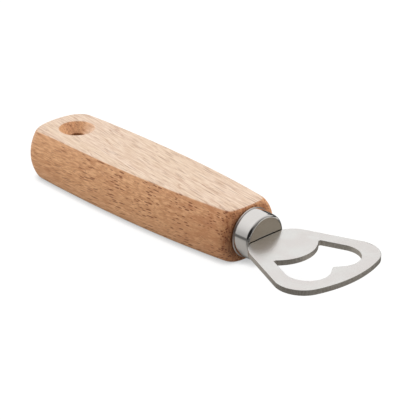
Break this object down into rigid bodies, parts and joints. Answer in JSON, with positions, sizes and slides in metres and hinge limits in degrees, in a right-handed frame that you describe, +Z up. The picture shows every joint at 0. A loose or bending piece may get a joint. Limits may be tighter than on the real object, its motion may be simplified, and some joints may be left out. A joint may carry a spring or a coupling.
{
  "type": "bottle opener",
  "caption": "Bottle opener: flat stamped steel head with a cap aperture, steel ferrule and a tapered wooden handle with a countersunk hanging hole.",
  "frame": {"origin": "on the plane the opener lies on, under the middle of its overall length and width", "axes": "+X along the handle towards the tip of the blade, +Y across the handle, +Z up, square to the flat faces of handle and blade"},
  "size_m": [0.16, 0.0446, 0.0204],
  "materials": {
    "handle_wood": "pale, fine-grained hardwood, sanded and lightly oiled",
    "ferrule_steel": "drawn stainless steel, polished bright",
    "blade_steel": "stamped stainless sheet, tumbled to a fine satin",
    "epoxy": "cured clear amber adhesive"
  },
  "bodies": {
    "root": {"handle": "handle_wood", "ferrule": "ferrule_steel", "opener_blade": "blade_steel", "tang_adhesive": "epoxy"}
  },
  "joints": []
}
